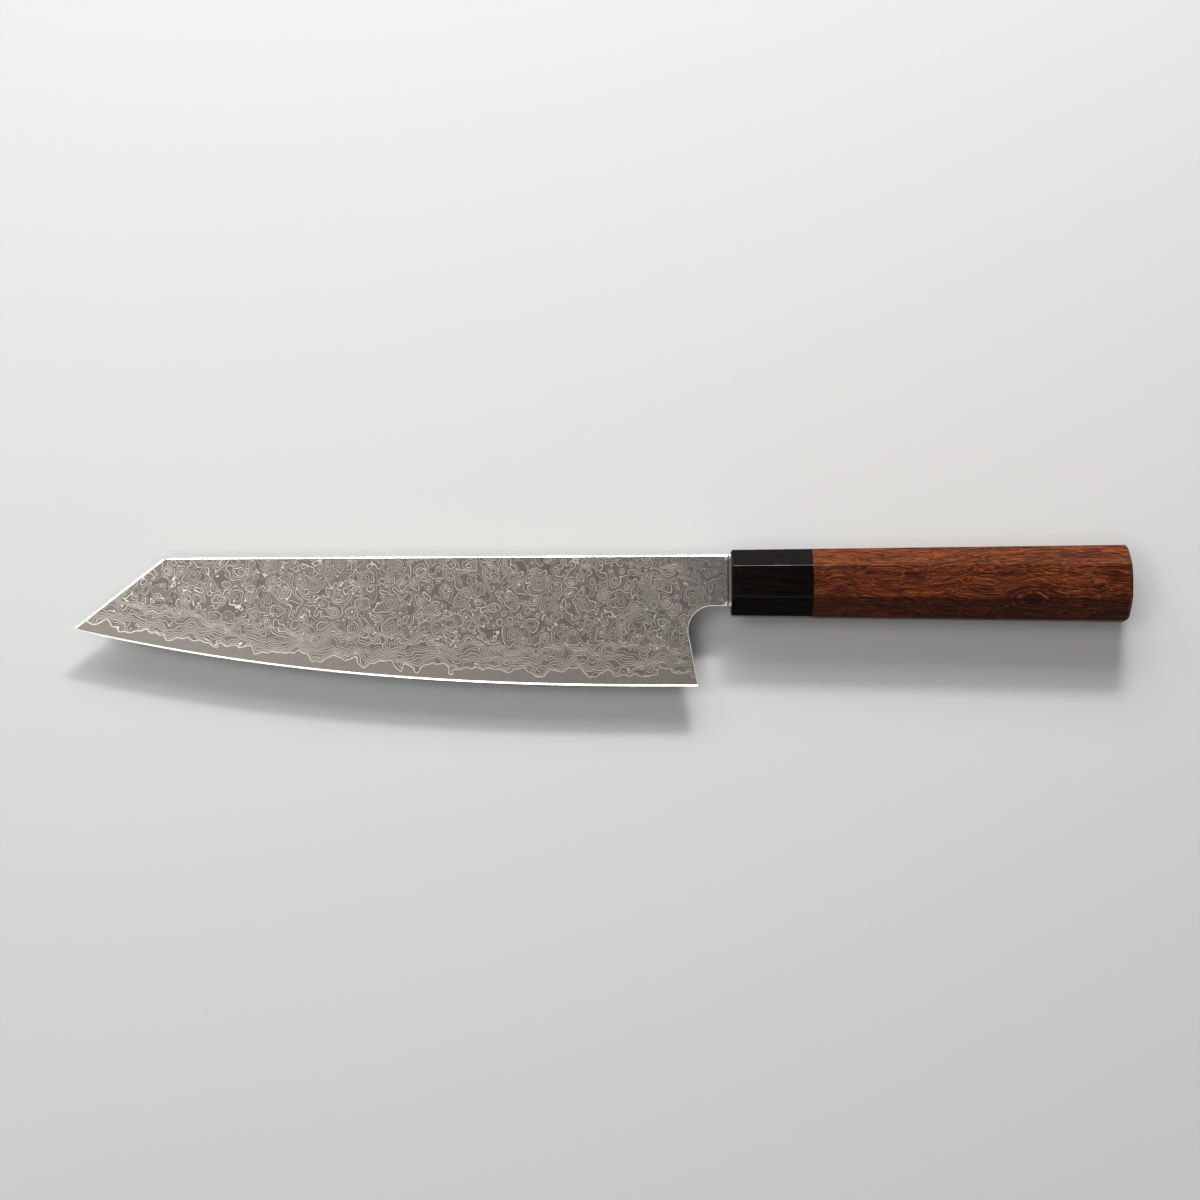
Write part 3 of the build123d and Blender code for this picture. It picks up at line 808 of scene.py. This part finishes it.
def pale_wood(name):
    """Planed magnolia: pale, even and fine grained. It is hidden inside the handle."""
    material, tree = new_material(name)
    place = millimetres(tree)
    grain = add_node(tree, VECTOR_MATH, {0: place, 1: (0.06, 1.2, 1.2)}, operation="MULTIPLY")
    grain = add_node(tree, NOISE, {"Vector": grain, "Scale": 1.0, "Detail": 4.0})
    stops = ((0.3, linear("#B89468")), (0.7, linear("#D9BC92")))
    colour = add_node(tree, RAMP, {"Fac": grain}, stops=stops)
    relief = add_node(tree, BUMP, {"Height": grain, "Distance": 0.05 * MM})
    shader = {"Base Color": colour, "Roughness": 0.6, "Normal": relief}
    shader = add_node(tree, PRINCIPLED, shader)
    add_node(tree, OUTPUT, {"Surface": shader})
    return material


def cured_resin(name, thin, thick):
    """Cured epoxy resin: smooth and glossy, with slight unevenness where it set."""
    material, tree = new_material(name)
    place = millimetres(tree)
    uneven = add_node(tree, NOISE, {"Vector": place, "Scale": 0.8, "Detail": 2.0})
    stops = ((0.3, linear(thin)), (0.7, linear(thick)))
    colour = add_node(tree, RAMP, {"Fac": uneven}, stops=stops)
    rough = add_node(tree, RANGE, {"Value": uneven, "To Min": 0.2, "To Max": 0.4})
    relief = add_node(tree, BUMP, {"Height": uneven, "Distance": 0.1 * MM})
    shader = {"Base Color": colour, "Roughness": rough, "Normal": relief}
    shader = add_node(tree, PRINCIPLED, shader)
    add_node(tree, OUTPUT, {"Surface": shader})
    return material


class KNIFE_OT_blade(bpy.types.Operator):
    """Give the core and the cladding sheets their etched steel"""

    bl_idname = "knife.blade"
    bl_label = "Blade"

    def execute(self, context):
        look = context.scene.knife_blade
        dress("blade_core", etched_steel("Etched stainless core", look))
        cladding = etched_steel("Etched pattern-welded cladding", look)
        dress("cladding_left", cladding)
        dress("cladding_right", cladding)
        return {"FINISHED"}


class KNIFE_OT_tang(bpy.types.Operator):
    """Give the tang its brushed steel"""

    bl_idname = "knife.tang"
    bl_label = "Tang"

    def execute(self, context):
        dress("tang", brushed_steel("Linished mild steel"))
        return {"FINISHED"}


class KNIFE_OT_handle(bpy.types.Operator):
    """Give the ferrule and the handle body their woods"""

    bl_idname = "knife.handle"
    bl_label = "Handle"

    def execute(self, context):
        look = context.scene.knife_handle
        dress("ferrule", ebony("Oiled ebony", look))
        dress("handle_body", rosewood("Oiled rosewood", look))
        return {"FINISHED"}


class KNIFE_OT_inner_pieces(bpy.types.Operator):
    """Give the dowel, the adhesive and the seal inside the handle their materials"""

    bl_idname = "knife.inner_pieces"
    bl_label = "Inner Pieces"

    def execute(self, context):
        dowel = pale_wood("Planed magnolia")
        dress("dowel_left", dowel)
        dress("dowel_right", dowel)
        dress("tang_adhesive", cured_resin("Amber epoxy", "#8A6A32", "#B8924E"))
        dress("mouth_seal", cured_resin("Black epoxy", "#0C0B0A", "#161412"))
        return {"FINISHED"}


def add_softbox(name, place, aim, size, radiance):
    """Adds a rectangular softbox, aimed at a point, whose face has an even radiance."""
    data = bpy.data.lights.new(name, "AREA")
    data.shape = "RECTANGLE"
    data.size, data.size_y = size
    data.energy = radiance * math.pi * size[0] * size[1]
    lamp = bpy.data.objects.new(name, data)
    lamp.location = place
    lamp.rotation_euler = (Vector(aim) - Vector(place)).to_track_quat("-Z", "Y").to_euler()
    bpy.context.scene.collection.objects.link(lamp)


class KNIFE_OT_stage(bpy.types.Operator):
    """Set the floor, the softboxes, the surroundings and the camera"""

    bl_idname = "knife.stage"
    bl_label = "Stage"

    def execute(self, context):
        stage = context.scene.knife_stage
        self.floor(context, stage)
        for softbox in SOFTBOXES:
            add_softbox(*softbox)
        self.surroundings(context)
        self.camera(context, stage)
        context.scene.view_settings.view_transform = "Standard"
        return {"FINISHED"}

    def floor(self, context, stage):
        bpy.ops.object.select_all(action="DESELECT")
        bpy.ops.mesh.primitive_plane_add(size=FLOOR_WIDTH, location=(0, 0, 0))
        floor = context.object
        floor.name = "studio_floor"
        material, tree = new_material("Matt paper")
        place = millimetres(tree)
        tooth = add_node(tree, NOISE, {"Vector": place, "Scale": 0.5, "Detail": 3.0})

        # The paper is pale where it is seen or mirrored, and lights the knife less than that
        seen = add_node(tree, "ShaderNodeLightPath", {}).node.outputs
        seen = {0: seen["Is Camera Ray"], 1: seen["Is Glossy Ray"]}
        seen = add_node(tree, MATH, seen, operation="MAXIMUM")
        dim = (*linear("#8C8C8A"), 1.0)
        colour = {"Factor": seen, "A": dim, "B": (*stage.floor_colour, 1.0)}
        colour = add_node(tree, MIX, colour, data_type="RGBA")
        relief = add_node(tree, BUMP, {"Height": tooth, "Distance": 0.02 * MM})
        shader = {"Base Color": colour, "Roughness": 0.9, "Normal": relief}
        shader = add_node(tree, PRINCIPLED, {**shader, "Specular IOR Level": 0.1})

        # Away from the knife the paper runs evenly into the pale background
        away = add_node(tree, VECTOR_MATH, {0: place}, operation="LENGTH").node.outputs["Value"]
        away = {"Value": away, "From Min": PAPER_FADE[0], "From Max": PAPER_FADE[1]}
        away = add_node(tree, RANGE, away, interpolation_type="SMOOTHSTEP")
        away = add_node(tree, MATH, {0: away, 1: seen}, operation="MULTIPLY")
        even = {"Color": (1, 1, 1, 1), "Strength": BACKGROUND}
        even = add_node(tree, "ShaderNodeEmission", even)
        surface = add_node(tree, "ShaderNodeMixShader", {0: away, 1: shader, 2: even})
        add_node(tree, OUTPUT, {"Surface": surface})
        floor.data.materials.append(material)

    def surroundings(self, context):
        world = bpy.data.worlds.new("Studio")
        context.scene.world = world
        world.use_nodes = True
        tree = world.node_tree
        tree.nodes.clear()
        direction = add_node(tree, COORDINATES, {}).node.outputs["Generated"]
        height = add_node(tree, SEPARATE, {0: direction}).node.outputs["Z"]
        rays = add_node(tree, "ShaderNodeLightPath", {}).node.outputs

        # Mirrored, the surroundings are light above the horizon and dim overhead
        low = {"Value": height, "From Min": 0.1, "From Max": 0.4, "To Min": 0.2, "To Max": 0.9}
        low = add_node(tree, RANGE, low, interpolation_type="SMOOTHSTEP")
        high = {"Value": height, "From Min": 0.68, "From Max": 0.87, "To Min": 0.9, "To Max": 0.14}
        high = add_node(tree, RANGE, high, interpolation_type="SMOOTHSTEP")
        glossy = add_node(tree, MATH, {0: low, 1: high}, operation="MINIMUM")
        level = {"Factor": rays["Is Glossy Ray"], "A": 0.08, "B": glossy}
        level = add_node(tree, MIX, level, data_type="FLOAT")
        level = {"Factor": rays["Is Camera Ray"], "A": level, "B": BACKGROUND}
        level = add_node(tree, MIX, level, data_type="FLOAT")
        glow = add_node(tree, "ShaderNodeBackground", {"Color": (1, 1, 1, 1), "Strength": level})
        add_node(tree, "ShaderNodeOutputWorld", {"Surface": glow})

    def camera(self, context, stage):
        target = Vector((VIEW_X * MM, VIEW_Y * MM, AXIS_Z * MM))
        back = Vector((0, -math.cos(stage.camera_elevation), math.sin(stage.camera_elevation)))
        data = bpy.data.cameras.new("Camera")
        data.sensor_width = 36.0
        data.lens = data.sensor_width * stage.camera_distance / stage.view_width
        camera = bpy.data.objects.new("Camera", data)
        camera.location = target + back * stage.camera_distance
        camera.rotation_euler = (-back).to_track_quat("-Z", "Y").to_euler()
        context.scene.collection.objects.link(camera)
        context.scene.camera = camera


class KNIFE_PT_panel(bpy.types.Panel):
    """Lists the steps that dress the knife and the sizes and colours they use"""

    bl_idname = "KNIFE_PT_panel"
    bl_label = "Kiritsuke Knife"
    bl_space_type = "VIEW_3D"
    bl_region_type = "UI"
    bl_category = "Knife"

    def draw(self, context):
        for look, steps in (
            (context.scene.knife_blade, (KNIFE_OT_blade, KNIFE_OT_tang)),
            (context.scene.knife_handle, (KNIFE_OT_handle, KNIFE_OT_inner_pieces)),
            (context.scene.knife_stage, (KNIFE_OT_stage,)),
        ):
            box = self.layout.box()
            for name in look.__annotations__:
                box.prop(look, name)
            for step in steps:
                box.operator(step.bl_idname)


LOOKS = (KnifeBladeLook, KnifeHandleLook, KnifeStageLook)
STEPS = (KNIFE_OT_blade, KNIFE_OT_tang, KNIFE_OT_handle, KNIFE_OT_inner_pieces, KNIFE_OT_stage)
CLASSES = (*LOOKS, *STEPS, KNIFE_PT_panel)


def register():
    for item in CLASSES:
        bpy.utils.register_class(item)
    bpy.types.Scene.knife_blade = PointerProperty(type=KnifeBladeLook)
    bpy.types.Scene.knife_handle = PointerProperty(type=KnifeHandleLook)
    bpy.types.Scene.knife_stage = PointerProperty(type=KnifeStageLook)


def unregister():
    del bpy.types.Scene.knife_stage
    del bpy.types.Scene.knife_handle
    del bpy.types.Scene.knife_blade
    for item in reversed(CLASSES):
        bpy.utils.unregister_class(item)


def main():
    """Dresses the knife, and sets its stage."""
    register()
    bpy.ops.knife.blade()
    bpy.ops.knife.tang()
    bpy.ops.knife.handle()
    bpy.ops.knife.inner_pieces()
    bpy.ops.knife.stage()


if __name__ == "__main__":
    main()
